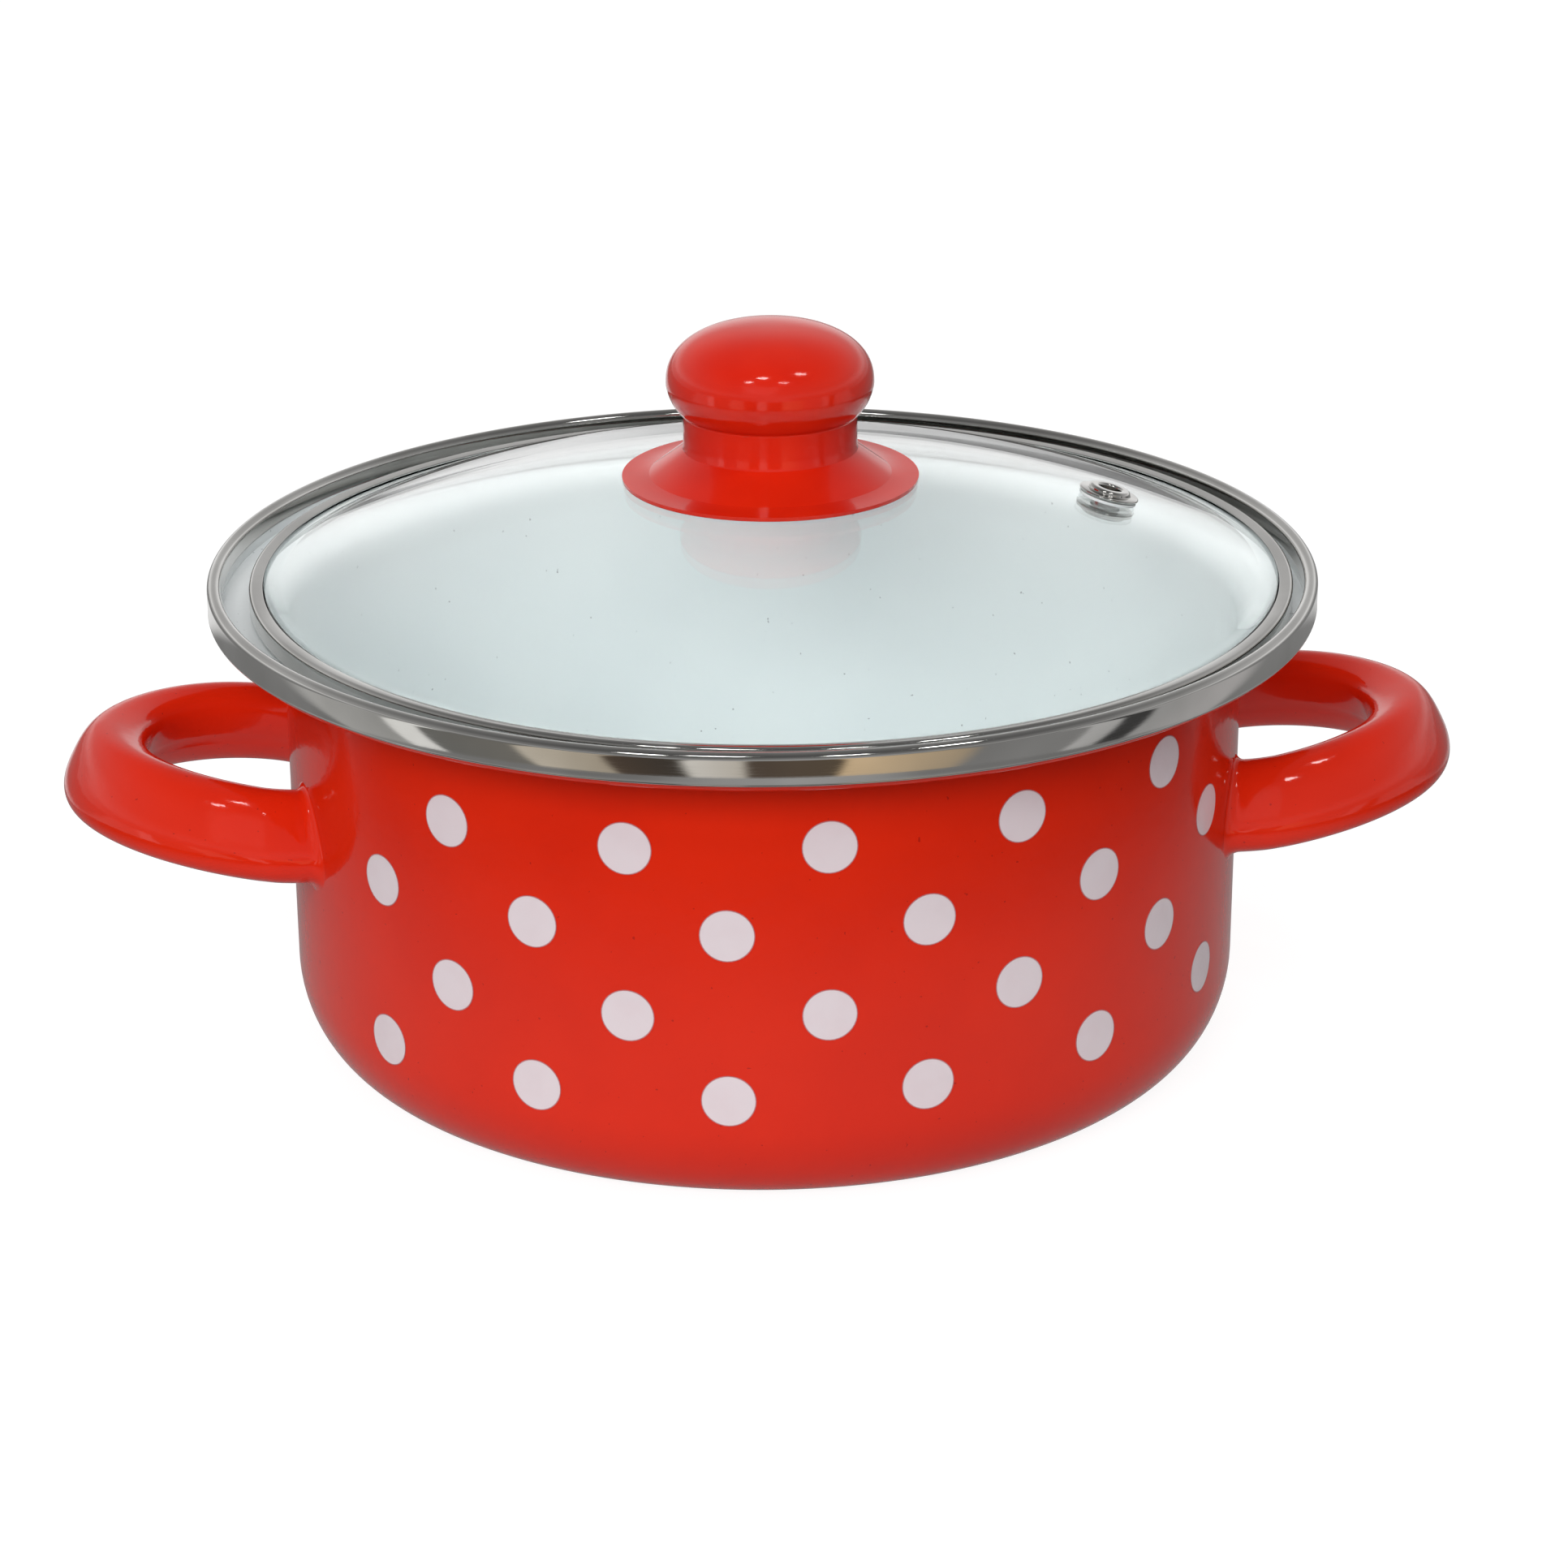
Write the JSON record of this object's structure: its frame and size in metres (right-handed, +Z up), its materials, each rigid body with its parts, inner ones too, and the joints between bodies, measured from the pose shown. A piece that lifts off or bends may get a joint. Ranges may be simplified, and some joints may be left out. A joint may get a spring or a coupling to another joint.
{
  "type": "casserole pot",
  "caption": "Low round cooking pot in enamelled steel with loop handles at its sides, a rolled stainless rim, and a domed glass lid with a steam vent and a moulded knob.",
  "frame": {"origin": "centre of the flat base, on the surface that the pot stands on", "axes": "+Z up along the pot's axis, +X towards the right handle, -Y the front with the dots"},
  "size_m": [0.2984, 0.233, 0.154],
  "materials": {
    "red_enamel": "gloss vitreous enamel on steel",
    "white_enamel": "gloss vitreous enamel",
    "stainless": "polished stainless steel",
    "clear_glass": "clear tempered glass",
    "red_plastic": "gloss moulded plastic",
    "white_silicone": "matte silicone",
    "plated_steel": "zinc plated",
    "brass": "machined"
  },
  "bodies": {
    "pot": {"pot_shell": "red_enamel", "enamel_lining": "white_enamel", "rim_trim": "stainless", "handle_left": "red_enamel", "handle_right": "red_enamel"},
    "lid": {"lid_glass": "clear_glass", "lid_ring": "stainless", "vent_eyelet": "stainless", "vent_gasket": "white_silicone", "vent_washer": "stainless", "knob": "red_plastic", "knob_insert": "brass", "knob_gasket_upper": "white_silicone", "knob_gasket_lower": "white_silicone", "knob_washer": "plated_steel", "knob_screw": "plated_steel"}
  },
  "joints": [
    {"name": "lid_lift", "type": "slide", "parent": "pot", "child": "lid", "axis": [0, 0, 1], "range_m": [0, 0.12]}
  ]
}
